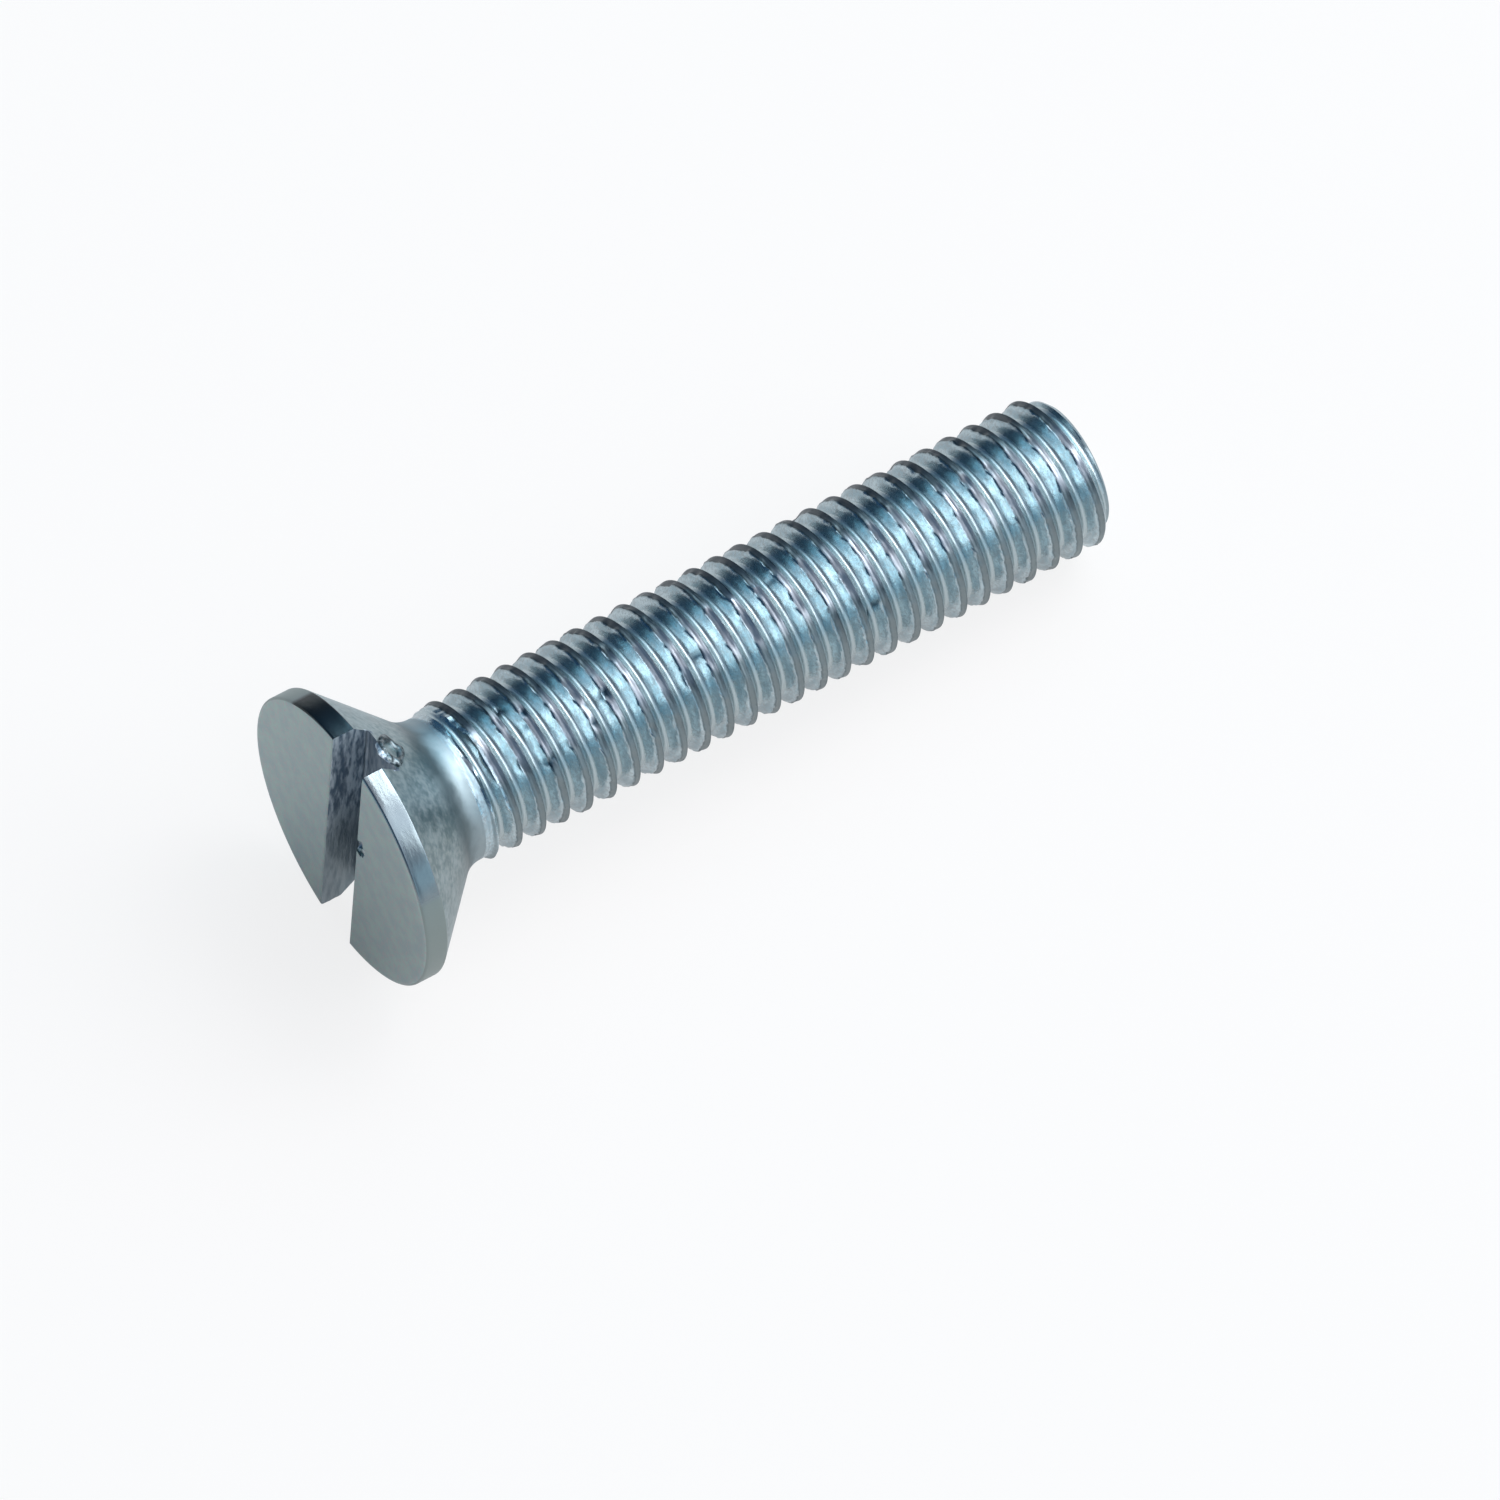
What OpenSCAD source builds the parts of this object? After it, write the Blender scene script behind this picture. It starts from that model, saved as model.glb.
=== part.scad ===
// Slotted countersunk machine screw, one turned and rolled piece of steel, lying as it comes to rest.
// It lies on two corners of its slotted rim and on the last full crest of its thread.

/* [Head] */
// Diameter of the head across its rim
head_d = 9.15; // [8.6:0.05:10.4]
// Length of the straight land around the rim
land_len = 0.7; // [0.3:0.05:0.9]
// Whole angle of the countersink cone
sink_angle = 90; // [80:1:100]
// Size of the broken edge around the face
face_edge = 0.1; // [0.02:0.01:0.2]
// Radius of the fillet that runs from the cone into the neck
neck_fillet = 1.1; // [0.3:0.05:1.4]

/* [Driver slot] */
// Width of the sawn slot
slot_w = 1.55; // [1.2:0.05:1.8]
// Depth of the slot below the face
slot_depth = 1.25; // [1.1:0.05:1.6]

/* [Shank] */
// Length of the whole screw, from the face to the point
screw_len = 25; // [16:1:40]
// Diameter of the plain neck between the head and the thread
neck_d = 4.5; // [4.3:0.05:4.8]
// Length from the foot of the cone to the first crest of the thread
neck_len = 0.6; // [0.5:0.05:1.6]
// Size of the chamfer around the point
point_chamfer = 0.42; // [0.2:0.02:0.6]

/* [Thread] */
// Diameter across the crests
thread_d = 4.83; // [4.82:0.01:5.2]
// Distance from one crest to the next
thread_pitch = 0.8; // [0.5:0.05:0.9]
// Angle between the flanks of the groove
flank_angle = 60; // [55:1:60]
// Number of turns over which the groove fades out towards the head
runout_turns = 0.6; // [0.4:0.1:2]
// Place around the screw where the groove leaves the point, from the slot's upper end
thread_exit_angle = 116; // [0:1:359]

/* [Hidden] */
plating = [0.66, 0.73, 0.77];
turned_facets = 96;
$fn = turned_facets;

head_r = head_d / 2;
neck_r = neck_d / 2;
thread_r = thread_d / 2;
point_r = thread_r - point_chamfer;

// The cone runs from the back of the land to the neck. The fillet is tangent to both, so it turns by
// half the cone's angle.
sink_half = sink_angle / 2;
sink_foot = land_len + (head_r - neck_r) / tan(sink_half);
fillet_reach = neck_fillet * tan(sink_half / 2);
fillet_end = sink_foot + fillet_reach;
fillet_steps = 8;
thread_start = max(sink_foot + neck_len, fillet_end + thread_r - neck_r);

// Form of the groove, as on a rolled metric thread: its depth and the flat of its root in pitches.
depth_in_pitches = 0.54;
root_in_pitches = 1 / 6;
thread_depth = depth_in_pitches * thread_pitch;
core_r = thread_r - thread_depth;
root_w = root_in_pitches * thread_pitch;

// How far the groove's cutter stands proud of the crests, and the slot's cutter of the head.
groove_over = 0.05;
slot_over = 1;
groove_facets = 24;

// Depth of the rim's slot corners below the axis, and where the last full crest touches the surface.
rim_drop = sqrt(pow(head_r, 2) - pow(slot_w / 2, 2));
face_drop = sqrt(pow(head_r - face_edge, 2) - pow(slot_w / 2, 2));
last_groove = screw_len - thread_pitch * (1 - (180 - thread_exit_angle) / 360);
last_crest = last_groove - groove_half_w(thread_r);
rest_tilt = atan((rim_drop - thread_r) / (last_crest - land_len));
rest_height = rim_drop * cos(rest_tilt) + land_len * sin(rest_tilt);
front_x = -face_drop * sin(rest_tilt);
rear_x = screw_len * cos(rest_tilt) + point_r * sin(rest_tilt);

// Half the groove's width at a distance r from the axis
function groove_half_w(r) = root_w / 2 + (r - core_r) * tan(flank_angle / 2);

// Half the head's and shank's section, as radius and distance from the face
function turned_outline() = concat(
    [[0, 0], [head_r - face_edge, 0], [head_r, face_edge], [head_r, land_len]],
    [for (i = [0 : fillet_steps])
        let (a = sink_half * (1 - i / fillet_steps))
        [neck_r + neck_fillet * (1 - cos(a)), fillet_end - neck_fillet * sin(a)]],
    [[neck_r, thread_start - (thread_r - neck_r)], [thread_r, thread_start]],
    [[thread_r, screw_len - point_chamfer], [point_r, screw_len], [0, screw_len]]
);

module turned_body() {
    rotate_extrude() polygon(turned_outline());
}

module driver_slot() {
    translate([-head_r - slot_over, -slot_w / 2, -slot_over])
        cube([2 * (head_r + slot_over), slot_w, slot_depth + slot_over]);
}

// The V groove between the crests, swept as one right-hand helix that starts above the surface near
// the head, sinks to its full depth and leaves through the point.
module thread_groove() {
    turns = (screw_len - thread_start) / thread_pitch + 1;
    steps = ceil(turns * groove_facets);
    fade = runout_turns * groove_facets;
    first_angle = thread_exit_angle + 180 - 360 * (screw_len - thread_start) / thread_pitch;
    outer_r = thread_r + groove_over;
    section = [
        [core_r, -groove_half_w(core_r)],
        [outer_r, -groove_half_w(outer_r)],
        [outer_r, groove_half_w(outer_r)],
        [core_r, groove_half_w(core_r)]
    ];
    points = [
        for (i = [0 : steps])
            let (
                a = first_angle + 360 * i / groove_facets,
                along = thread_start + thread_pitch * i / groove_facets,
                lift = (thread_depth + groove_over) * max(0, 1 - i / fade)
            )
            for (q = section) [(q[0] + lift) * cos(a), (q[0] + lift) * sin(a), along + q[1]]
    ];
    sides = [
        for (i = [0 : steps - 1])
            for (k = [0 : 3])
                let (m = (k + 1) % 4, here = 4 * i, there = 4 * (i + 1))
                for (f = [[here + k, there + m, there + k], [here + k, here + m, there + m]]) f
    ];
    last = 4 * steps;
    ends = [[3, 2, 1, 0], [last, last + 1, last + 2, last + 3]];
    polyhedron(points = points, faces = concat(sides, ends));
}

// Lays the upright screw down: the axis points along +X with the point low, and the slot is upright.
module laid_down() {
    translate([-(front_x + rear_x) / 2, 0, rest_height])
        rotate([0, 90 + rest_tilt, 0])
            children();
}

module screw() {
    color(plating)
        laid_down()
            difference() {
                turned_body();
                driver_slot();
                thread_groove();
            }
}

screw();
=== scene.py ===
"""A slotted countersunk machine screw, zinc plated, lying on a pale floor."""
import math

import bpy
from mathutils import Matrix, Vector, noise


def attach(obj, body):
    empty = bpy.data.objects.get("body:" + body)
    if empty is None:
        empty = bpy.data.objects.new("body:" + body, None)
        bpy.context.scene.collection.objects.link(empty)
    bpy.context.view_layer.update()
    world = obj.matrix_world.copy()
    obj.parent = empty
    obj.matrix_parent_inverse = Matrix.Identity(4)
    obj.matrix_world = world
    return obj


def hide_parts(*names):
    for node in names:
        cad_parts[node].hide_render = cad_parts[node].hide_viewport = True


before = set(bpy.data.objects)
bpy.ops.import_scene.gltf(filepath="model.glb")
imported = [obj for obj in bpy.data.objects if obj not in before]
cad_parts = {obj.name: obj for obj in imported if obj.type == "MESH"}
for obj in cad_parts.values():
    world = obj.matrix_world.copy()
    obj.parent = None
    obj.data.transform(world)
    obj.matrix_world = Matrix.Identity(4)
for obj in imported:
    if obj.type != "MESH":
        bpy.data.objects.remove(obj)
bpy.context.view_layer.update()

MM = 0.001
QUARTER = math.radians(90)
TURN = math.radians(360)

# Sizes of the screw in millimetres, the same as in the part's source.
HEAD_R = 4.575
LAND = 0.7
FACE_EDGE = 0.1
SINK_HALF = math.radians(45)
NECK_FILLET = 1.1
SLOT_W = 1.55
SLOT_DEPTH = 1.25
SCREW_LEN = 25.0
NECK_R = 2.25
NECK_LEN = 0.6
POINT_CHAMFER = 0.42
THREAD_R = 2.415
PITCH = 0.8
GROOVE_DEPTH = 0.54 * PITCH
ROOT_FLAT = PITCH / 6
FLANK = math.radians(60)
RUNOUT_TURNS = 0.6
EXIT_ANGLE = math.radians(116)
GROOVE_OVER = 0.05

CORE_R = THREAD_R - GROOVE_DEPTH
POINT_R = THREAD_R - POINT_CHAMFER
SINK_FOOT = LAND + (HEAD_R - NECK_R) / math.tan(SINK_HALF)
FILLET_END = SINK_FOOT + NECK_FILLET * math.tan(SINK_HALF / 2)
THREAD_START = max(SINK_FOOT + NECK_LEN, FILLET_END + THREAD_R - NECK_R)

# How the screw lies: on two slot corners of its rim and on the last full crest of its thread.
RIM_DROP = math.sqrt(HEAD_R ** 2 - (SLOT_W / 2) ** 2)
FACE_DROP = math.sqrt((HEAD_R - FACE_EDGE) ** 2 - (SLOT_W / 2) ** 2)
GROOVE_HALF = ROOT_FLAT / 2 + GROOVE_DEPTH / math.tan(FLANK)
LAST_GROOVE = SCREW_LEN - PITCH * (math.pi + EXIT_ANGLE) / TURN
LAST_CREST = LAST_GROOVE - GROOVE_HALF
REST_TILT = math.atan((RIM_DROP - THREAD_R) / (LAST_CREST - LAND))
REST_HEIGHT = RIM_DROP * math.cos(REST_TILT) + LAND * math.sin(REST_TILT)
FRONT_X = -FACE_DROP * math.sin(REST_TILT)
REAR_X = SCREW_LEN * math.cos(REST_TILT) + POINT_R * math.sin(REST_TILT)
FACE_X = -(FRONT_X + REAR_X) / 2
LAY_DOWN = (Matrix.Translation((FACE_X * MM, 0, REST_HEIGHT * MM))
            @ Matrix.Rotation(QUARTER + REST_TILT, 4, 'Y') @ Matrix.Scale(MM, 4))


def deselect():
    """Leaves edit mode and clears the selection."""
    if bpy.context.object and bpy.context.object.mode != 'OBJECT':
        bpy.ops.object.mode_set(mode='OBJECT')
    bpy.ops.object.select_all(action='DESELECT')


def choose(piece):
    """Makes one piece the only selected and active one."""
    deselect()
    piece.select_set(True)
    bpy.context.view_layer.objects.active = piece


def choose_parts(piece, kind, wanted):
    """Selects, in edit mode, the faces or edges that pass the test, and nothing else."""
    choose(piece)
    bpy.ops.object.mode_set(mode='EDIT')
    bpy.ops.mesh.select_mode(type=kind)
    bpy.ops.mesh.select_all(action='DESELECT')
    bpy.ops.object.mode_set(mode='OBJECT')
    mesh = piece.data
    if kind == 'FACE':
        for face in mesh.polygons:
            face.select = bool(wanted(face.center))
    else:
        for edge in mesh.edges:
            start, end = (mesh.vertices[i].co for i in edge.vertices)
            edge.select = bool(wanted(start, end))
    bpy.ops.object.mode_set(mode='EDIT')


def draw_outline(name, outline, across='X'):
    """Draws a line of edges through points of distance and height, the distance taken along X or Y."""
    def place(point):
        return Vector((point[0], 0, point[1])) if across == 'X' else Vector((0, point[0], point[1]))

    deselect()
    bpy.ops.mesh.primitive_plane_add(size=1)
    piece = bpy.context.object
    piece.name = name
    bpy.ops.object.mode_set(mode='EDIT')
    bpy.ops.mesh.select_mode(type='VERT')
    bpy.ops.mesh.select_all(action='SELECT')
    bpy.ops.mesh.merge(type='CENTER')
    here = place(outline[0])
    bpy.ops.transform.translate(value=here)
    for point in outline[1:]:
        there = place(point)
        bpy.ops.mesh.extrude_region_move(TRANSFORM_OT_translate={"value": there - here})
        here = there
    bpy.ops.object.mode_set(mode='OBJECT')
    return piece


MERGE_GAP = 0.0002


def clean_skin(piece):
    """Merges doubled points and turns every face outwards."""
    choose(piece)
    bpy.ops.object.mode_set(mode='EDIT')
    bpy.ops.mesh.select_all(action='SELECT')
    bpy.ops.mesh.remove_doubles(threshold=MERGE_GAP)
    bpy.ops.mesh.normals_make_consistent(inside=False)
    bpy.ops.object.mode_set(mode='OBJECT')


def combine(piece, tool, operation):
    """Cuts the tool from the piece, or adds it, and removes the tool."""
    choose(piece)
    step = piece.modifiers.new("tool", 'BOOLEAN')
    step.operation = operation
    step.object = tool
    step.solver = 'EXACT'
    bpy.ops.object.modifier_apply(modifier=step.name)
    bpy.data.objects.remove(tool, do_unlink=True)


def arc(centre, radius, start, end, steps):
    """Points along an arc, from one angle to another, both ends included."""
    span = end - start
    return [(centre[0] + radius * math.cos(start + span * i / steps),
             centre[1] + radius * math.sin(start + span * i / steps)) for i in range(steps + 1)]


def line(start, end, steps):
    """Points along a straight line, without its two ends."""
    return [(start[0] + (end[0] - start[0]) * i / steps,
             start[1] + (end[1] - start[1]) * i / steps) for i in range(1, steps)]


# The head: one turned solid, standing on its face, with its slot sawn across it.
HEAD_STEPS = 192
FACE_RINGS = 8
EDGE_RINGS = 6
LAND_RINGS = 4
CONE_RINGS = 16
FILLET_RINGS = 12
ROUND_STEPS = 4
LAND_ROUND = 0.07
RIM_GAP = 0.0015
EDGE_SPREAD = 0.2
HEAD_STUB = FILLET_END + 0.02


def head_outline():
    """Half of the head's section, from the middle of the face to the middle of a short stub of neck."""
    rim = HEAD_R - RIM_GAP
    flat = rim - EDGE_SPREAD
    face = [(0, 0)] + line((0, 0), (flat, 0), FACE_RINGS)
    edge = [(flat + EDGE_SPREAD * math.sin(QUARTER * i / EDGE_RINGS),
             FACE_EDGE * (1 - math.cos(QUARTER * i / EDGE_RINGS))) for i in range(EDGE_RINGS + 1)]
    reach = LAND_ROUND * math.tan(SINK_HALF / 2)
    back = arc((rim - LAND_ROUND, LAND - reach), LAND_ROUND, 0, SINK_HALF, ROUND_STEPS)
    fillet_centre = (NECK_R + NECK_FILLET, FILLET_END)
    fillet = arc(fillet_centre, NECK_FILLET, -math.pi + SINK_HALF, -math.pi, FILLET_RINGS)
    cone = line(back[-1], fillet[0], CONE_RINGS)
    land = line(edge[-1], back[0], LAND_RINGS)
    return face + edge + land + back + cone + fillet + [(NECK_R, HEAD_STUB), (0, HEAD_STUB)]


def turn_head():
    """Spins the head's section around the axis into a closed solid."""
    head = draw_outline("screw_head", head_outline())
    choose(head)
    bpy.ops.object.mode_set(mode='EDIT')
    bpy.ops.mesh.select_all(action='SELECT')
    bpy.ops.mesh.spin(steps=HEAD_STEPS, angle=TURN, center=(0, 0, 0), axis=(0, 0, 1))
    clean_skin(head)
    return head


SLOT_FLARE = 0.035
SLOT_OVER = 0.4
FLOOR_ROUND = 0.1
FLOOR_STEPS = 5
WALL_STEPS = 12
SAW_STEPS = 150
SAW_MARK = 0.02
# How fast the noise of the saw's strokes changes along, across and into the slot, how much faster its
# finer part does, and how far each wall lies from the floor in it.
STROKES = (0.8, 5.0, 6.0)
FINE_STROKES = 2.7
WALL_SHIFT = 9.0
# A noise's middle level, and how strongly its broad and its finer part move it.
STROKE_MIX = (0.5, 0.4, 0.2)


def saw_outline():
    """Section of the saw blade: the slot's width, its rounded floor corners and its broken upper edges."""
    half = SLOT_W / 2
    round_centre = (half - FLOOR_ROUND, SLOT_DEPTH - FLOOR_ROUND)
    corner = arc(round_centre, FLOOR_ROUND, QUARTER, 0, ROUND_STEPS)
    middle = (0, SLOT_DEPTH)
    wall_top = (half, SLOT_FLARE)
    over = (half + SLOT_FLARE + SLOT_OVER, -SLOT_OVER)
    floor = line(middle, corner[0], FLOOR_STEPS)
    wall = line(corner[-1], wall_top, WALL_STEPS)
    right = floor + corner + wall + [wall_top, over]
    left = [(-across, height) for across, height in right[::-1]]
    return left + [middle] + right


def two_noises(place, finer, mix):
    """Noise at a place around a middle level, with a broad part and a finer one."""
    level, broad, fine = mix
    return level + broad * noise.noise(place) + fine * noise.noise(place * finer)


def saw_mark(place, wall):
    """How far the saw left metal at a place on a wall of the slot: long strokes along the slot."""
    along, across, deep = STROKES
    stroke = Vector((place.x * along + wall * WALL_SHIFT, place.y * across, place.z * deep))
    return SAW_MARK * two_noises(stroke, FINE_STROKES, STROKE_MIX)


def saw_slot(head):
    """Cuts the driver slot across the head with a blade whose sides carry the saw's marks."""
    reach = HEAD_R + SLOT_OVER
    half = SLOT_W / 2
    touch = 0.001
    blade = draw_outline("saw_blade", saw_outline(), across='Y')
    choose(blade)
    bpy.ops.object.mode_set(mode='EDIT')
    bpy.ops.mesh.select_all(action='SELECT')
    bpy.ops.transform.translate(value=(-reach, 0, 0))
    bpy.ops.mesh.edge_face_add()
    bpy.ops.mesh.extrude_region_move(TRANSFORM_OT_translate={"value": (2 * reach, 0, 0)})
    choose_parts(blade, 'EDGE', lambda start, end: abs(start.x - end.x) > reach)
    bpy.ops.mesh.subdivide(number_cuts=SAW_STEPS - 1)
    bpy.ops.object.mode_set(mode='OBJECT')
    for point in blade.data.vertices:
        place = point.co
        if place.z > SLOT_DEPTH - touch:
            place.z -= saw_mark(place, 0)
        elif place.z > SLOT_FLARE + touch and abs(place.y) > half - touch:
            side = math.copysign(1, place.y)
            place.y -= side * saw_mark(place, side)
    clean_skin(blade)
    combine(head, blade, 'DIFFERENCE')


# Marks of the saw and of handling on the head. Lumps say how fast a form's unevenness changes.
BURR_AT = Vector((-3.79, -0.04, 1.47))
BURR_TILT = -SINK_HALF
BURR_TURN = math.radians(50)
BURR_SIZE = Vector((0.47, 0.38, 0.40))
BURR_THICK = 0.3
BURR_SWELL = 0.3
BURR_LUMPS = 1.6
NICK_AT = Vector((-1.02, -0.9, -0.14))
NICK_SIZE = Vector((0.42, 0.34, 0.3))
NICK_SWELL = 0.5
NICK_LUMPS = 2.2


def roughen(place, size, swell, lumps, centre):
    """Brings a place on a round form of radius 1 to the form's size, and swells or sinks it unevenly."""
    uneven = 1 + swell * noise.noise(place * lumps + centre)
    return Vector((place.x * size.x, place.y * size.y, place.z * size.z)) * uneven


def saw_burr():
    """A curl of torn metal that the saw left at the slot's upper end: a flattened, uneven ring."""
    deselect()
    bpy.ops.mesh.primitive_torus_add(major_segments=56, minor_segments=14,
                                     major_radius=1, minor_radius=BURR_THICK)
    ring = bpy.context.object
    turn = Matrix.Rotation(BURR_TILT, 3, 'Y') @ Matrix.Rotation(BURR_TURN, 3, 'Z')
    for point in ring.data.vertices:
        point.co = BURR_AT + turn @ roughen(point.co.copy(), BURR_SIZE, BURR_SWELL, BURR_LUMPS, BURR_AT)
    return ring


def edge_nick():
    """A small rough lump, the form of a dent in the slot's lower edge."""
    deselect()
    bpy.ops.mesh.primitive_ico_sphere_add(subdivisions=4, radius=1)
    lump = bpy.context.object
    for point in lump.data.vertices:
        point.co = NICK_AT + roughen(point.co.copy(), NICK_SIZE, NICK_SWELL, NICK_LUMPS, NICK_AT)
    return lump


def mark_head(head):
    """Adds the curl of metal at the slot's upper end, and nicks the slot's lower edge."""
    combine(head, saw_burr(), 'UNION')
    combine(head, edge_nick(), 'DIFFERENCE')


# The thread: one helical skin from the neck to the point, whose radius is set place by place.
THREAD_STEPS = 128
JOIN_AT = FILLET_END + 0.06
ROOT_ROUND = ROOT_FLAT / 2 * math.tan(FLANK)
SOFT_EDGE = 0.05
HARD_EDGE = 0.01
NECK_END = THREAD_START + 0.1
LEVEL_GAP = 0.0005
RING_GAP = 0.03


def soft_least(first, second, width):
    """The lesser of two lengths, with the corner between them rounded over a width."""
    overlap = max(width - abs(first - second), 0) / width
    return min(first, second) - overlap * overlap * width / 4


def groove_height(across):
    """Height of the groove's side above its root, at a distance from the groove's middle line."""
    across = abs(across)
    if across < ROOT_ROUND * math.sin(FLANK):
        return ROOT_ROUND - math.sqrt(ROOT_ROUND ** 2 - across ** 2)
    return (across - ROOT_FLAT / 2) * math.tan(FLANK)


def blank_radius(along):
    """Radius of the neck, the thread's blank and the chamfered point, before the thread is rolled."""
    slope = NECK_R + along - NECK_END
    start = max(NECK_R, soft_least(THREAD_R, slope, SOFT_EDGE))
    return soft_least(start, POINT_R + SCREW_LEN - along, SOFT_EDGE)


def groove_centre(angle):
    """Distance from the face of the last groove before the point, at an angle around the screw."""
    turn = ((angle - EXIT_ANGLE - math.pi) % TURN) / TURN
    return SCREW_LEN + PITCH * (turn - 1)


CREST_HALF = PITCH / 2 - GROOVE_HALF
CREST_FALL = 0.13
# How fast the noise of the crests changes around the screw and from turn to turn, and how much faster
# its finer part and the seam's breaks do.
RAGS_AROUND = 2.4
RAGS_ALONG = 1.9
FINE_RAGS = 4.3
RAGGED_MIX = (0.5, 0.8, 0.5)
SEAM_BREAKS = 3.7
SEAM_LEVEL = 0.6
SEAM_CHANGE = 1.2
SEAM_DEPTH = 0.015
SEAM_WIDTH = 0.03
DENT_WIDTH = 0.12
DENT_DEPTH = 0.08
# Small dents from handling: degrees around the screw from its slot's lower end, and distance from the face.
DENTS = ((184, 5.96), (192, 5.3), (200, 7.72), (214, 7.67), (198, 8.35), (222, 6.12), (225, 5.94), (166, 5.5),
         (205, 11.4), (176, 14.1), (238, 16.7), (60, 9.2), (300, 12.8), (20, 18.3), (110, 20.6), (330, 6.9))


def share(value):
    """A value kept between 0 and 1."""
    return min(max(value, 0), 1)


def crest_loss(angle, across, turns):
    """How far a crest falls short of its full height: least towards the point, with a seam along it."""
    place = Vector((RAGS_AROUND * math.cos(angle), RAGS_AROUND * math.sin(angle), RAGS_ALONG * turns))
    ragged = share(two_noises(place, FINE_RAGS, RAGGED_MIX))
    slope = share((CREST_HALF - across) / (2 * CREST_HALF))
    broken = share(SEAM_LEVEL + SEAM_CHANGE * noise.noise(place * SEAM_BREAKS))
    seam = SEAM_DEPTH * broken * math.exp(-(across / SEAM_WIDTH) ** 2)
    return CREST_FALL * ragged * slope + seam


def dent_depth(angle, along):
    """Depth of the handling dents at a place on the shank."""
    depth = 0
    for around, distance in DENTS:
        aside = THREAD_R * ((angle - math.radians(around) + math.pi) % TURN - math.pi)
        gap = math.hypot(aside, along - distance)
        depth = max(depth, DENT_DEPTH * math.exp(-(gap / DENT_WIDTH) ** 2))
    return depth


def shank_radius(angle, along):
    """Radius of the finished shank at an angle around the screw and a distance from the face."""
    radius = blank_radius(along)
    last = groove_centre(angle)
    nearest = round((along - last) / PITCH)
    for turn in (nearest - 1, nearest, nearest + 1):
        centre = last + turn * PITCH
        faded = 1 - (centre - THREAD_START) / (PITCH * RUNOUT_TURNS)
        lift = (GROOVE_DEPTH + GROOVE_OVER) * max(0, faded)
        edge = SOFT_EDGE if along > centre else HARD_EDGE
        radius = soft_least(radius, CORE_R + lift + groove_height(along - centre), edge)
    turns = (along - last) / PITCH
    across = (turns - math.floor(turns) - 0.5) * PITCH
    worn = THREAD_R - crest_loss(angle, across, math.floor(turns) + angle / TURN)
    return soft_least(radius, worn, HARD_EDGE) - dent_depth(angle, along)


# Lines of the skin beside a groove's middle, and beside the crest's edge towards the head and the point.
GROOVE_LINES = (0, 0.035, 0.068, 0.1, 0.16, 0.22)
UNDER_CREST = 0.045
REAR_CREST_LINES = (0, 0.03, 0.055)
FRONT_CREST_LINES = (-0.01, 0.025, 0.055)


def thread_line():
    """One pitch of the skin's lines, drawn from crest to crest and closest where the form turns."""
    side = [*GROOVE_LINES, GROOVE_HALF - UNDER_CREST]
    rear = side + [GROOVE_HALF + gap for gap in REAR_CREST_LINES] + [PITCH / 2]
    front = side + [GROOVE_HALF + gap for gap in FRONT_CREST_LINES] + [PITCH / 2]
    offsets = [-across for across in rear[:0:-1]] + front
    first = groove_centre(0) - PITCH * math.ceil((groove_centre(0) - JOIN_AT) / PITCH + 1)
    return [(THREAD_R, first + across) for across in offsets]


def is_level(height, start, end):
    """Whether an edge lies at one height, both ends."""
    return max(abs(start.z - height), abs(end.z - height)) < LEVEL_GAP


SPARE_TURNS = 3
CUT_GAP = 0.00001
# The name of the dents' attribute, which carries the painted shade in each dent, and how much stronger than a
# dent's depth that painted shade is.
DENT_SHADE = "dent_shade"
DENT_SHADE_STRENGTH = 1.4


def roll_thread():
    """Winds the line of one pitch into a skin, trims it at the neck and the point, and shapes it."""
    shank = draw_outline("screw_shank", thread_line())
    winding = shank.modifiers.new("winding", 'SCREW')
    winding.axis = 'Z'
    winding.angle = TURN
    winding.screw_offset = PITCH
    winding.iterations = math.ceil((SCREW_LEN - JOIN_AT) / PITCH) + SPARE_TURNS
    winding.steps = THREAD_STEPS
    winding.render_steps = THREAD_STEPS
    choose(shank)
    bpy.ops.object.modifier_apply(modifier=winding.name)
    clean_skin(shank)
    for height, keep_above in ((JOIN_AT, True), (SCREW_LEN, False)):
        bpy.ops.object.mode_set(mode='EDIT')
        bpy.ops.mesh.select_all(action='SELECT')
        bpy.ops.mesh.bisect(plane_co=(0, 0, height), plane_no=(0, 0, 1), threshold=CUT_GAP,
                            clear_inner=keep_above, clear_outer=not keep_above)
        choose_parts(shank, 'EDGE', lambda start, end: is_level(height, start, end))
        bpy.ops.mesh.remove_doubles(threshold=RING_GAP)
        bpy.ops.object.mode_set(mode='OBJECT')
    # Each point keeps the painted shade of the dent it lies in, by the dent's depth.
    dent_shade = shank.data.attributes.new(DENT_SHADE, 'FLOAT', 'POINT')
    for point in shank.data.vertices:
        angle = math.atan2(point.co.y, point.co.x)
        depth = dent_depth(angle, point.co.z)
        dent_shade.data[point.index].value = min(DENT_SHADE_STRENGTH * depth / DENT_DEPTH, 1)
        radius = shank_radius(angle, point.co.z)
        point.co.x = radius * math.cos(angle)
        point.co.y = radius * math.sin(angle)
    return shank


END_RIM = 0.9
END_DISH = 0.05


def close_point(shank):
    """Closes the cut end of the point with a rim and a shallow dish, as a sheared blank has."""
    middle = (0, 0, SCREW_LEN)
    choose_parts(shank, 'EDGE', lambda start, end: min(start.z, end.z) > SCREW_LEN - LEVEL_GAP)
    bpy.ops.mesh.extrude_region_move()
    bpy.ops.transform.resize(value=(END_RIM, END_RIM, 1), center_override=middle)
    bpy.ops.mesh.extrude_region_move()
    bpy.ops.transform.resize(value=(END_RIM, END_RIM, 1), center_override=middle)
    bpy.ops.transform.translate(value=(0, 0, -END_DISH))
    bpy.ops.mesh.edge_face_add()
    bpy.ops.object.mode_set(mode='OBJECT')


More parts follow.
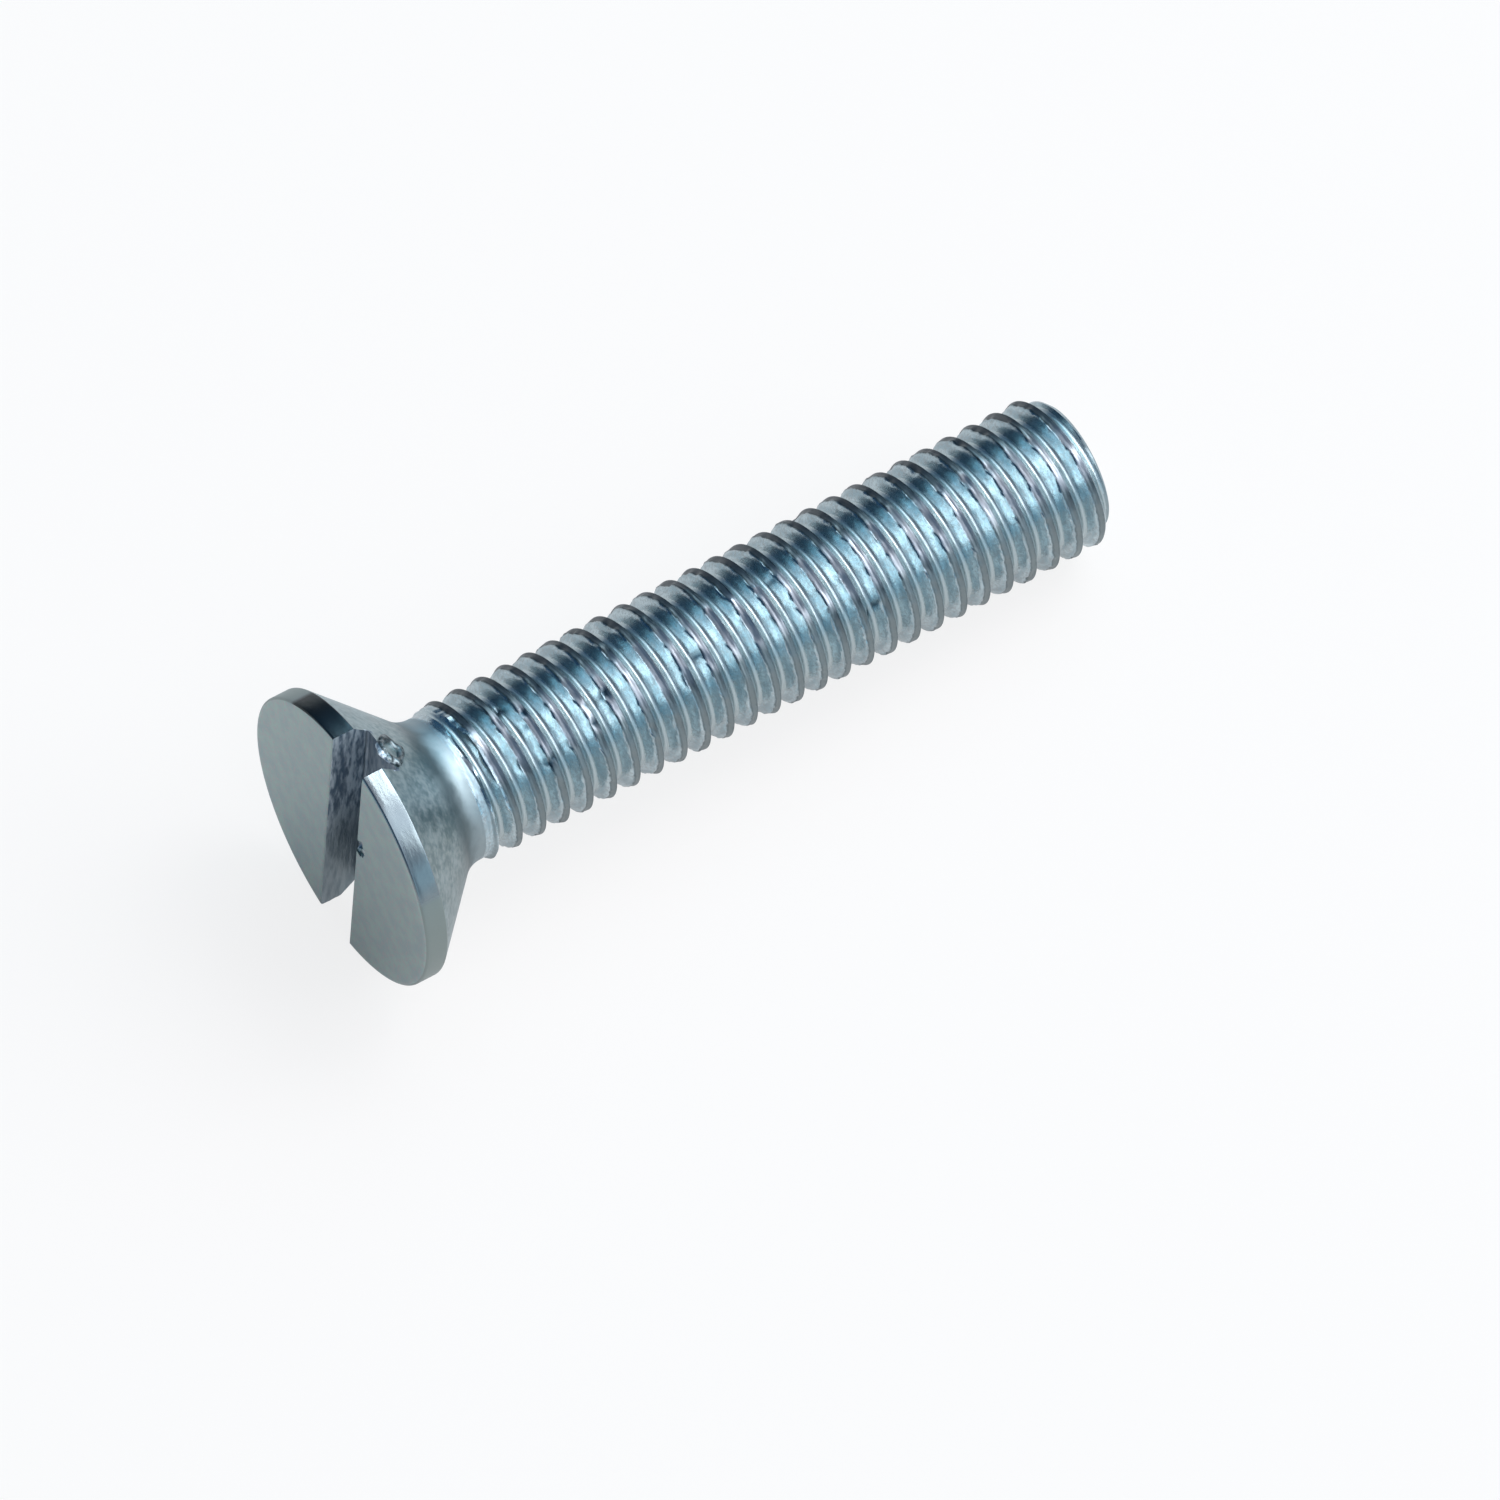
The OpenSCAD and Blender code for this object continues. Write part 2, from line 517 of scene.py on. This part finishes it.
def join_head(head, shank):
    """Opens the head's stub of neck and bridges it to the start of the shank."""
    choose_parts(head, 'FACE', lambda centre: centre.z > HEAD_STUB - LEVEL_GAP)
    bpy.ops.mesh.delete(type='FACE')
    choose(shank)
    head.select_set(True)
    bpy.ops.object.join()
    choose_parts(shank, 'EDGE',
                 lambda start, end: is_level(HEAD_STUB, start, end) or is_level(JOIN_AT, start, end))
    bpy.ops.mesh.bridge_edge_loops()
    bpy.ops.object.mode_set(mode='OBJECT')
    shank.name = "threaded_screw"
    return shank


def lay_down(piece):
    """Bakes the screw's real size and its place on the floor into its mesh."""
    piece.data.transform(LAY_DOWN)
    piece.data.update()


# Materials. Each one reads the screw's own upright millimetres: Z is the distance from the face.
def feed(tree, socket, value):
    """Links a socket to another node's output, or sets it to a plain value."""
    if isinstance(value, bpy.types.NodeSocket):
        tree.links.new(value, socket)
    else:
        socket.default_value = value


def calculate(tree, operation, first, second=0.0):
    """One step of arithmetic."""
    step = tree.nodes.new("ShaderNodeMath")
    step.operation = operation
    feed(tree, step.inputs[0], first)
    feed(tree, step.inputs[1], second)
    return step.outputs[0]


def rise(tree, value, low, high, bottom=0.0, top=1.0):
    """A smooth change from bottom to top while a value goes from low to high."""
    ramp = tree.nodes.new("ShaderNodeMapRange")
    ramp.interpolation_type = 'SMOOTHSTEP'
    feed(tree, ramp.inputs["Value"], value)
    feed(tree, ramp.inputs["From Min"], low)
    feed(tree, ramp.inputs["From Max"], high)
    feed(tree, ramp.inputs["To Min"], bottom)
    feed(tree, ramp.inputs["To Max"], top)
    return ramp.outputs["Result"]


def clouds(tree, place, scale, detail=2.0):
    """Cloudy noise; the scale is the number of clouds a millimetre along X, Y and Z."""
    stretch = tree.nodes.new("ShaderNodeMapping")
    feed(tree, stretch.inputs["Vector"], place)
    stretch.inputs["Scale"].default_value = scale
    noise_map = tree.nodes.new("ShaderNodeTexNoise")
    feed(tree, noise_map.inputs["Vector"], stretch.outputs["Vector"])
    noise_map.inputs["Scale"].default_value = 1.0
    noise_map.inputs["Detail"].default_value = detail
    return noise_map.outputs[0]


# The mix node's colour sockets go by number, because their names are used for its other kinds too.
MIX_SHARE = 0
MIX_FIRST = 6
MIX_SECOND = 7
MIX_RESULT = 2


def blend(tree, amount, first, second):
    """Goes from the first colour to the second by an amount between 0 and 1."""
    mix = tree.nodes.new("ShaderNodeMix")
    mix.data_type = 'RGBA'
    feed(tree, mix.inputs[MIX_SHARE], amount)
    feed(tree, mix.inputs[MIX_FIRST], first)
    feed(tree, mix.inputs[MIX_SECOND], second)
    return mix.outputs[MIX_RESULT]


def emboss(tree, height, depth, below=None):
    """Bump from a height between 0 and 1 that stands for a depth in millimetres."""
    bump = tree.nodes.new("ShaderNodeBump")
    bump.inputs["Distance"].default_value = depth * MM
    feed(tree, bump.inputs["Height"], height)
    if below:
        feed(tree, bump.inputs["Normal"], below)
    return bump.outputs["Normal"]


def new_metal(name):
    """A metal material with its tree, its shader and the place on the upright screw."""
    material = bpy.data.materials.new(name)
    material.use_nodes = True
    tree = material.node_tree
    shader = tree.nodes["Principled BSDF"]
    shader.inputs["Metallic"].default_value = 1.0
    spot = tree.nodes.new("ShaderNodeTexCoord")
    upright = tree.nodes.new("ShaderNodeMapping")
    upright.vector_type = 'TEXTURE'
    upright.inputs["Location"].default_value = LAY_DOWN.to_translation()
    upright.inputs["Rotation"].default_value = (0, QUARTER + REST_TILT, 0)
    upright.inputs["Scale"].default_value = (MM, MM, MM)
    tree.links.new(spot.outputs["Object"], upright.inputs["Vector"])
    return material, tree, shader, upright.outputs["Vector"]


def coat(tree, shader, colour, roughness, relief):
    """Gives a metal its colour, its roughness and its fine relief."""
    feed(tree, shader.inputs["Base Color"], colour)
    feed(tree, shader.inputs["Roughness"], roughness)
    feed(tree, shader.inputs["Normal"], relief)


def axes_of(tree, place):
    """The X, Y and Z of a place."""
    split = tree.nodes.new("ShaderNodeSeparateXYZ")
    tree.links.new(place, split.inputs[0])
    return split.outputs


def distance_from_axis(tree, place):
    """The radius at a place on the upright screw."""
    axes = axes_of(tree, place)
    across = calculate(tree, 'MULTIPLY', axes["X"], axes["X"])
    upward = calculate(tree, 'MULTIPLY', axes["Y"], axes["Y"])
    return calculate(tree, 'SQRT', calculate(tree, 'ADD', across, upward))


def facing(tree, place, degrees):
    """How far a place on the upright screw faces a side: 1 towards it, -1 away from it."""
    axes = axes_of(tree, place)
    across = calculate(tree, 'MULTIPLY', axes["X"], math.cos(math.radians(degrees)))
    upward = calculate(tree, 'MULTIPLY', axes["Y"], math.sin(math.radians(degrees)))
    return calculate(tree, 'DIVIDE', calculate(tree, 'ADD', across, upward), distance_from_axis(tree, place))


def scaled(tree, colour, amount):
    """A colour made lighter or darker by an amount."""
    product = tree.nodes.new("ShaderNodeVectorMath")
    product.operation = 'SCALE'
    feed(tree, product.inputs[0], colour)
    feed(tree, product.inputs["Scale"], amount)
    return product.outputs[0]


def across_pitch(tree, place):
    """How far a place lies across its pitch: 0 in the middle of the groove, 0.5 on the crest."""
    axes = axes_of(tree, place)
    around = calculate(tree, 'ARCTAN2', axes["Y"], axes["X"])
    along = calculate(tree, 'DIVIDE', axes["Z"], PITCH)
    turned = calculate(tree, 'SUBTRACT', along, calculate(tree, 'DIVIDE', around, TURN))
    start = (EXIT_ANGLE + math.pi) / TURN - SCREW_LEN / PITCH
    return calculate(tree, 'FRACT', calculate(tree, 'ADD', turned, start))


# The middle part of a cloud's range, over which most finishes go from one colour to the other.
CLOUD_BAND = (0.35, 0.65)


THREAD_PALE = (0.53, 0.63, 0.66, 1)
THREAD_DEEP = (0.34, 0.445, 0.485, 1)
THREAD_WARM = (0.34, 0.375, 0.385, 1)
# Painted shade in the handling dents.
DENT_SHADE_COLOUR = (0.05, 0.09, 0.12, 1)
# A plain pale band along each groove's root, painted to widen the root's highlight.
ROOT_HIGHLIGHT = (0.46, 0.53, 0.54, 1)
# Crest colours: the dark edge colours are painted shade, and the tops are painted darker away from one side.
CREST_GREY = (0.23, 0.265, 0.27, 1)
CREST_DULL = (0.11, 0.12, 0.125, 1)
CREST_EDGE_SHADE = (0.08, 0.10, 0.105, 1)
CREST_SOFT = (0.16, 0.195, 0.205, 1)
# Painted highlights on the crests of the lit side: on their tops, and along their edges.
CREST_HIGHLIGHT = (0.50, 0.52, 0.545, 1)
CREST_EDGE_HIGHLIGHT = (0.38, 0.42, 0.46, 1)
WARM_SPECKS = (0.42, 0.66)
# Specks along the crest edges that carry the painted highlight.
HIGHLIGHT_SPECKS = (0.38, 0.55)
# Bands across half a pitch, from 0 in the middle of a crest to 0.5 in the middle of a groove.
CREST_TOP = (0.05, 0.10)
CREST_EDGE = (0.10, 0.16)
DULL_CREST = (0.08, 0.16)
ROOT_HIGHLIGHT_BAND = (0.35, 0.41)
ROUGH_ROOT = (0.38, 0.44)
RAGGED_BANDS = 0.12
# Sides in degrees around the screw, and bands of how far a place faces them: along these, light and shade are
# painted on the thread.
LIT_CREST_SIDE = 197
PAINTED_LIGHT_SIDE = 285
LIT_CREST_BAND = (0.89, 0.975)
SOFT_RIM = (0.2, 0.7)
GREY_TOP = (-0.75, -0.35)


def thread_flank(tree, streaks, specks, side, worn):
    """Colour of the groove's sides: streaked, with warmer specks, painted lighter towards one side and darker
    away from it, and a little darker where the crests carry their painted highlight.
    """
    flank = blend(tree, rise(tree, streaks, *CLOUD_BAND), THREAD_DEEP, THREAD_PALE)
    flank = blend(tree, rise(tree, specks, *WARM_SPECKS, top=0.6), flank, THREAD_WARM)
    # Painted light and shade: the groove's sides are lighter towards one side and darker away from it.
    plating = rise(tree, side, -1, 1, bottom=0.86, top=1.06)
    # Painted shade: the groove's sides are a little darker on the lit side of the crests.
    lit_side_shade = rise(tree, worn, 0, 1, bottom=1, top=0.92)
    return scaled(tree, flank, calculate(tree, 'MULTIPLY', plating, lit_side_shade))


def thread_crest(tree, skin, from_crest, threaded, specks, side, worn):
    """Lays the crests over the skin's colour: painted shade along their edges and dull tops, both darker away
    from one side, and painted highlights on the lit side.
    """
    # Painted shade: dark lines along both edges of each crest.
    edge = calculate(tree, 'MULTIPLY', rise(tree, from_crest, *CREST_EDGE, bottom=1, top=0), threaded)
    # Painted highlight in specks along the crest edges on the lit side.
    dotted = calculate(tree, 'MULTIPLY', worn, rise(tree, specks, *HIGHLIGHT_SPECKS, bottom=0.4))
    # The painted shade at the crest edges is darkest away from one side.
    rim = blend(tree, rise(tree, side, *SOFT_RIM), CREST_EDGE_SHADE, CREST_SOFT)
    skin = blend(tree, edge, skin, blend(tree, dotted, rim, CREST_EDGE_HIGHLIGHT))
    crest = calculate(tree, 'MULTIPLY', rise(tree, from_crest, *CREST_TOP, bottom=1, top=0), threaded)
    # Painted shade: the crest tops are darker away from one side.
    top = blend(tree, rise(tree, side, *GREY_TOP), CREST_DULL, CREST_GREY)
    # Painted highlight: the crest tops are brighter on the lit side.
    return blend(tree, crest, skin, blend(tree, worn, top, CREST_HIGHLIGHT))


def plated_thread():
    """Bright plating, streaked along the thread, with painted light and shade: lighter and darker by side,
    shade along the crest edges and in the dents, and highlights along the roots and on the crests of the lit
    side.
    """
    material, tree, shader, place = new_metal("plated_thread")
    streaks = clouds(tree, place, (0.9, 0.9, 9.0), detail=3.0)
    blots = clouds(tree, place, (2.2, 2.2, 8.0), detail=3.0)
    specks = clouds(tree, place, (9.0, 9.0, 14.0))
    grain = clouds(tree, place, (16.0, 16.0, 22.0))
    threaded = rise(tree, axes_of(tree, place)["Z"], THREAD_START, THREAD_START + PITCH / 2)
    ragged = calculate(tree, 'MULTIPLY', calculate(tree, 'SUBTRACT', specks, 0.5), RAGGED_BANDS)
    even = calculate(tree, 'ABSOLUTE', calculate(tree, 'SUBTRACT', across_pitch(tree, place), 0.5))
    from_crest = calculate(tree, 'ADD', even, ragged)
    # worn marks the lit side, where the crests carry a painted highlight.
    worn = rise(tree, facing(tree, place, LIT_CREST_SIDE), *LIT_CREST_BAND)
    # side tells how far a place faces the side towards which the thread's light and shade are painted.
    side = facing(tree, place, PAINTED_LIGHT_SIDE)
    skin = thread_flank(tree, streaks, specks, side, worn)
    # Painted highlight: a plain pale band along the root of each groove.
    skin = blend(tree, rise(tree, from_crest, *ROOT_HIGHLIGHT_BAND), skin, ROOT_HIGHLIGHT)
    skin = thread_crest(tree, skin, from_crest, threaded, specks, side, worn)
    # Painted shade darkens the handling dents by their depth; their hollows are real shape.
    dents = tree.nodes.new("ShaderNodeAttribute")
    dents.attribute_name = DENT_SHADE
    skin = blend(tree, dents.outputs["Fac"], skin, DENT_SHADE_COLOUR)
    smooth = rise(tree, from_crest, *DULL_CREST, bottom=0.42, top=0.24)
    rounded = rise(tree, from_crest, *ROUGH_ROOT, top=0.1)
    pitted = emboss(tree, blots, depth=0.007, below=emboss(tree, streaks, depth=0.003))
    relief = emboss(tree, grain, depth=0.003, below=pitted)
    coat(tree, shader, skin, calculate(tree, 'ADD', smooth, rounded), relief)
    return material


FACE_PALE = (0.355, 0.455, 0.42, 1)
FACE_DEEP = (0.32, 0.40, 0.40, 1)
FACE_WARM = (0.42, 0.385, 0.39, 1)
WARM_MOTTLES = (0.45, 0.7)


def plated_face():
    """Matte plating of the head's face, faintly mottled."""
    material, tree, shader, place = new_metal("plated_face")
    patches = clouds(tree, place, (1.8, 1.8, 2.4))
    mottles = clouds(tree, place, (9.0, 9.0, 9.0))
    fine = clouds(tree, place, (20.0, 20.0, 20.0))
    grey = blend(tree, rise(tree, patches, *CLOUD_BAND), FACE_DEEP, FACE_PALE)
    skin = blend(tree, rise(tree, mottles, *WARM_MOTTLES), grey, FACE_WARM)
    relief = emboss(tree, fine, depth=0.0015, below=emboss(tree, mottles, depth=0.004))
    coat(tree, shader, skin, roughness=0.46, relief=relief)
    return material


LAND_PALE = (0.28, 0.32, 0.33, 1)
LAND_DEEP = (0.22, 0.26, 0.275, 1)
LAND_DULL = (0.27, 0.31, 0.295, 1)
# A dark patch on the rim's upper left, deepening towards the left.
DARK_PATCH_PALE = (0.085, 0.10, 0.105, 1)
DARK_PATCH_DEEP = (0.022, 0.028, 0.029, 1)
DARK_PATCH_MOTTLES = (0.3, 0.7)
# Bands on the rim, in upright millimetres: X runs down and Y to the left as the screw lies.
POLISH_END = (-2.25, -2.05)
DARK_PATCH_FOOT = (-2.6, -2.2)
DARK_PATCH_START = (0.0, 0.3)
DARK_PATCH_DEEPENS = (1.2, 2.4)
DARK_PATCH_END = (2.75, 3.05)


def plated_land():
    """Turned plating of the head's rim, smooth at its upper end and dull below, with a dark patch on its
    upper left.
    """
    material, tree, shader, place = new_metal("plated_land")
    patches = clouds(tree, place, (2.0, 2.0, 4.0))
    fine = clouds(tree, place, (14.0, 14.0, 20.0))
    axes = axes_of(tree, place)
    left = rise(tree, axes["Y"], *DARK_PATCH_END)
    dull = calculate(tree, 'MAXIMUM', rise(tree, axes["X"], *POLISH_END), left)
    skin = blend(tree, dull, blend(tree, patches, LAND_DEEP, LAND_PALE), LAND_DULL)
    upper = rise(tree, axes["X"], *DARK_PATCH_FOOT, bottom=1, top=0)
    dark_patch = calculate(tree, 'MULTIPLY', upper, rise(tree, axes["Y"], *DARK_PATCH_START))
    dark_patch = calculate(tree, 'MULTIPLY', dark_patch, rise(tree, left, 0, 1, bottom=1, top=0))
    dark_patch = calculate(tree, 'MULTIPLY', dark_patch, rise(tree, patches, *DARK_PATCH_MOTTLES, bottom=1, top=0.94))
    dark_patch_colour = blend(tree, rise(tree, axes["Y"], *DARK_PATCH_DEEPENS), DARK_PATCH_PALE, DARK_PATCH_DEEP)
    relief = emboss(tree, fine, depth=0.0015, below=emboss(tree, patches, depth=0.006))
    roughness = rise(tree, dull, 0, 1, bottom=0.27, top=0.46)
    coat(tree, shader, blend(tree, dark_patch, skin, dark_patch_colour), roughness, relief)
    return material


CONE_PALE = (0.36, 0.42, 0.425, 1)
CONE_DEEP = (0.17, 0.24, 0.25, 1)
# Painted shade on the fillet and the foot of the cone, which also dims the fillet's highlight.
FILLET_SHADE = (0.14, 0.18, 0.19, 1)
NECK_PALE = (0.32, 0.375, 0.39, 1)
CONE_PATCHES = (0.34, 0.66)
# Bands along the axis, by their distance from the face.
FILLET_SHADE_BAND = (2.1, 2.8)
ROUGH_BAND = (2.5, 3.1)
NECK_BAND = (3.05, 3.65)
NECK_UNEVEN = 0.6


def plated_cone():
    """Patchy plating of the countersink cone, the neck and the cut end, with painted shade on the fillet and
    the foot of the cone.
    """
    material, tree, shader, place = new_metal("plated_cone")
    patches = clouds(tree, place, (1.6, 1.6, 2.2), detail=3.0)
    mottles = clouds(tree, place, (6.0, 6.0, 6.0))
    fine = clouds(tree, place, (18.0, 18.0, 18.0))
    both = calculate(tree, 'MULTIPLY', calculate(tree, 'ADD', patches, mottles), 0.5)
    skin = blend(tree, rise(tree, both, *CONE_PATCHES), CONE_DEEP, CONE_PALE)
    axes = axes_of(tree, place)
    # Painted shade: the foot of the cone and the fillet are darker.
    skin = blend(tree, rise(tree, axes["Z"], *FILLET_SHADE_BAND), skin, FILLET_SHADE)
    uneven = calculate(tree, 'ADD', axes["Z"], calculate(tree, 'MULTIPLY', patches, NECK_UNEVEN))
    skin = blend(tree, rise(tree, uneven, *NECK_BAND), skin, NECK_PALE)
    patchy = rise(tree, patches, *CLOUD_BAND, bottom=0.3, top=0.42)
    roughness = calculate(tree, 'ADD', patchy, rise(tree, axes["Z"], *ROUGH_BAND, top=0.14))
    relief = emboss(tree, fine, depth=0.002, below=emboss(tree, both, depth=0.014))
    coat(tree, shader, skin, roughness, relief)
    return material


SLOT_PALE = (0.90, 0.96, 0.99, 1)
SLOT_DEEP = (0.22, 0.29, 0.37, 1)
SLOT_LOW = (0.34, 0.39, 0.41, 1)
SLOT_FLOOR_SHADE = (0.15, 0.19, 0.23, 1)
# Bands where the slot's walls grow duller down its length as the screw lies, and where painted shade darkens
# them into its depth.
DULL_END = (-1.2, 1.6)
SLOT_SHADE_BAND = (SLOT_DEPTH - 0.15, SLOT_DEPTH - 0.05)


def sawn_slot():
    """Dark rough plating in the sawn slot, marked by the saw's strokes, with painted shade deep in it towards
    its floor.
    """
    material, tree, shader, place = new_metal("sawn_slot")
    strokes = clouds(tree, place, (1.4, 6.0, 7.0), detail=3.0)
    fine = clouds(tree, place, (6.0, 20.0, 20.0))
    axes = axes_of(tree, place)
    sawn = blend(tree, rise(tree, strokes, *CLOUD_BAND), SLOT_DEEP, SLOT_PALE)
    wall = blend(tree, rise(tree, axes["X"], *DULL_END, top=0.8), sawn, SLOT_LOW)
    # Painted shade deep in the slot, towards its floor.
    skin = blend(tree, rise(tree, axes["Z"], *SLOT_SHADE_BAND, top=0.8), wall, SLOT_FLOOR_SHADE)
    relief = emboss(tree, fine, depth=0.004, below=emboss(tree, strokes, depth=0.03))
    coat(tree, shader, skin, roughness=0.5, relief=relief)
    return material


BURR_PALE = (0.20, 0.23, 0.24, 1)
BURR_DARK = (0.07, 0.085, 0.09, 1)
BURR_MOTTLES = (0.4, 0.6)


def torn_burr():
    """Dull torn metal of the curl at the slot's end."""
    material, tree, shader, place = new_metal("torn_burr")
    mottles = clouds(tree, place, (7.0, 7.0, 7.0), detail=3.0)
    skin = blend(tree, rise(tree, mottles, *BURR_MOTTLES), BURR_DARK, BURR_PALE)
    coat(tree, shader, skin, roughness=0.4, relief=emboss(tree, mottles, depth=0.02))
    return material


FINISHES = (plated_thread, plated_face, plated_land, plated_cone, sawn_slot, torn_burr)
SMOOTH_UNDER = math.radians(32)
EDGE_SHARE = 0.3
SLOT_MARGIN = 0.01
PROUD = 0.03
BURR_REACH = 1.1


def finish_at(place):
    """The finish that the skin has at a place on the upright screw."""
    radius = math.hypot(place.x, place.y)
    near_burr = (place - BURR_AT).length < BURR_REACH
    if near_burr and place.z > LAND and radius + place.z > HEAD_R + LAND + PROUD:
        return torn_burr
    if place.z < SLOT_DEPTH + SLOT_MARGIN and abs(place.y) < SLOT_W / 2 + SLOT_MARGIN:
        if place.z > SLOT_FLARE / 2 or abs(place.y) < SLOT_W / 2:
            return sawn_slot
    if place.z < FACE_EDGE * EDGE_SHARE:
        return plated_face
    if place.z < LAND + PROUD and radius > HEAD_R - FACE_EDGE:
        return plated_land
    if place.z < FILLET_END or place.z > SCREW_LEN - END_DISH * 2:
        return plated_cone
    return plated_thread


def make_screw():
    """Builds the whole screw as one closed skin, with each face's finish."""
    head = turn_head()
    saw_slot(head)
    mark_head(head)
    shank = roll_thread()
    close_point(shank)
    screw = join_head(head, shank)
    clean_skin(screw)
    screw.data.materials.clear()
    for make_finish in FINISHES:
        screw.data.materials.append(make_finish())
    for face in screw.data.polygons:
        face.material_index = FINISHES.index(finish_at(face.center))
    lay_down(screw)
    choose(screw)
    bpy.ops.object.shade_smooth_by_angle(angle=SMOOTH_UNDER)
    return screw


screw = make_screw()
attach(screw, "root")
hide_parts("screw")


# The floor, sized in metres. It shows white to the camera and in reflections, and keeps a soft shadow.
FLOOR_SIZE = 4.0
FLOOR_COLOUR = (0.75, 0.69, 0.66, 1)
SHADOW_SEEN = 0.18
SHADOW_REFLECTED = 0.7


def pale_floor():
    """A plain matte floor under the screw."""
    deselect()
    bpy.ops.mesh.primitive_plane_add(size=FLOOR_SIZE, location=(0, 0, 0))
    floor = bpy.context.object
    floor.name = "pale_floor"
    material = bpy.data.materials.new("pale_floor")
    material.use_nodes = True
    tree = material.node_tree
    tree.nodes.clear()
    matte = tree.nodes.new("ShaderNodeBsdfDiffuse")
    matte.inputs["Color"].default_value = FLOOR_COLOUR
    white = tree.nodes.new("ShaderNodeEmission")
    white.inputs["Strength"].default_value = 1.0
    ray = tree.nodes.new("ShaderNodeLightPath")
    seen = calculate(tree, 'MULTIPLY', ray.outputs["Is Camera Ray"], 1 - SHADOW_SEEN)
    mirrored = calculate(tree, 'MAXIMUM', ray.outputs["Is Glossy Ray"], ray.outputs["Is Transmission Ray"])
    mirrored = calculate(tree, 'MULTIPLY', mirrored, 1 - SHADOW_REFLECTED)
    mix = tree.nodes.new("ShaderNodeMixShader")
    output = tree.nodes.new("ShaderNodeOutputMaterial")
    tree.links.new(calculate(tree, 'MAXIMUM', seen, mirrored), mix.inputs[0])
    tree.links.new(matte.outputs[0], mix.inputs[1])
    tree.links.new(white.outputs[0], mix.inputs[2])
    tree.links.new(mix.outputs[0], output.inputs["Surface"])
    floor.data.materials.append(material)


pale_floor()

# Studio light: soft panels around the screw. The brightest hang above the point's side.
ROOM_COLOUR = (0.15, 0.5, 1.0, 1)
ROOM_LEVEL = 0.18
PANEL_DISTANCE = 0.7
# Each panel's name, degrees around the screw and above it, width and height in metres, brightness and colour.
PANELS = (
    ("key_panel", 330, 32, 0.65, 0.30, 4.8, (0.92, 0.97, 1.0)),
    ("top_key_panel", 0, 56, 0.32, 0.30, 7.2, (0.95, 0.98, 1.0)),
    ("point_fill_panel", 30, 32, 0.65, 0.30, 2.3, (0.45, 0.83, 1.0)),
    ("high_left_panel", 45, 56, 0.30, 0.30, 3.0, (0.80, 0.90, 1.0)),
    ("far_left_panel", 90, 56, 0.30, 0.30, 1.0, (0.65, 0.92, 1.0)),
    ("high_right_panel", 292, 56, 0.60, 0.30, 1.9, (0.88, 0.92, 1.0)),
    ("overhead_panel", 0, 90, 0.60, 0.60, 0.35, (1.0, 0.86, 0.84)),
    ("right_fill_panel", 262, 32, 0.40, 0.30, 0.7, (0.85, 0.92, 1.0)),
    ("low_right_panel", 257, 10, 0.30, 0.24, 1.2, (0.64, 0.88, 1.0)),
    ("low_front_panel", 300, 11, 0.50, 0.24, 1.0, (0.64, 0.88, 1.0)),
    ("low_rear_panel", 175, 10, 0.45, 0.24, 0.8, (0.7, 0.92, 1.0)),
)


def light_room():
    """Fills the room with a dim light."""
    world = bpy.data.worlds.new("studio_room")
    bpy.context.scene.world = world
    world.use_nodes = True
    room = world.node_tree.nodes["Background"]
    room.inputs["Color"].default_value = ROOM_COLOUR
    room.inputs["Strength"].default_value = ROOM_LEVEL


def softbox(name, azimuth, elevation, width, height, level, colour):
    """Hangs a soft panel of a given brightness that faces the screw."""
    lamp = bpy.data.lights.new(name, 'AREA')
    lamp.shape = 'RECTANGLE'
    lamp.size = width
    lamp.size_y = height
    lamp.color = colour
    lamp.energy = level * math.pi * width * height
    holder = bpy.data.objects.new(name, lamp)
    bpy.context.scene.collection.objects.link(holder)
    around = math.radians(azimuth)
    above = math.radians(elevation)
    away = Vector((math.cos(above) * math.cos(around), math.cos(above) * math.sin(around), math.sin(above)))
    holder.location = away * PANEL_DISTANCE
    holder.rotation_euler = away.to_track_quat('Z', 'Y').to_euler()


light_room()
for panel in PANELS:
    softbox(*panel)


# Camera, at the photograph's viewing angle: degrees around the screw, above the floor and of roll.
VIEW_AROUND = math.radians(238.7961)
VIEW_ABOVE = math.radians(60.8692)
VIEW_ROLL = math.radians(-1.8635)
AIM = Vector((-0.2373, -2.6786, 2.0593)) * MM
CAMERA_DISTANCE = 487.2 * MM
LENS = 407.1
SENSOR = 36.0
NEAR_LIMIT = 0.01


def place_camera():
    """Sets the camera up behind a long lens, looking down on the screw."""
    camera = bpy.data.objects.new("camera", bpy.data.cameras.new("camera"))
    bpy.context.scene.collection.objects.link(camera)
    turn = Matrix.Rotation(VIEW_AROUND + QUARTER, 4, 'Z') @ Matrix.Rotation(QUARTER - VIEW_ABOVE, 4, 'X')
    turn = turn @ Matrix.Rotation(VIEW_ROLL, 4, 'Z')
    camera.matrix_world = Matrix.Translation(AIM) @ turn @ Matrix.Translation((0, 0, CAMERA_DISTANCE))
    camera.data.sensor_width = SENSOR
    camera.data.lens = LENS
    camera.data.clip_start = NEAR_LIMIT
    bpy.context.scene.camera = camera


place_camera()
bpy.context.scene.view_settings.view_transform = 'Standard'
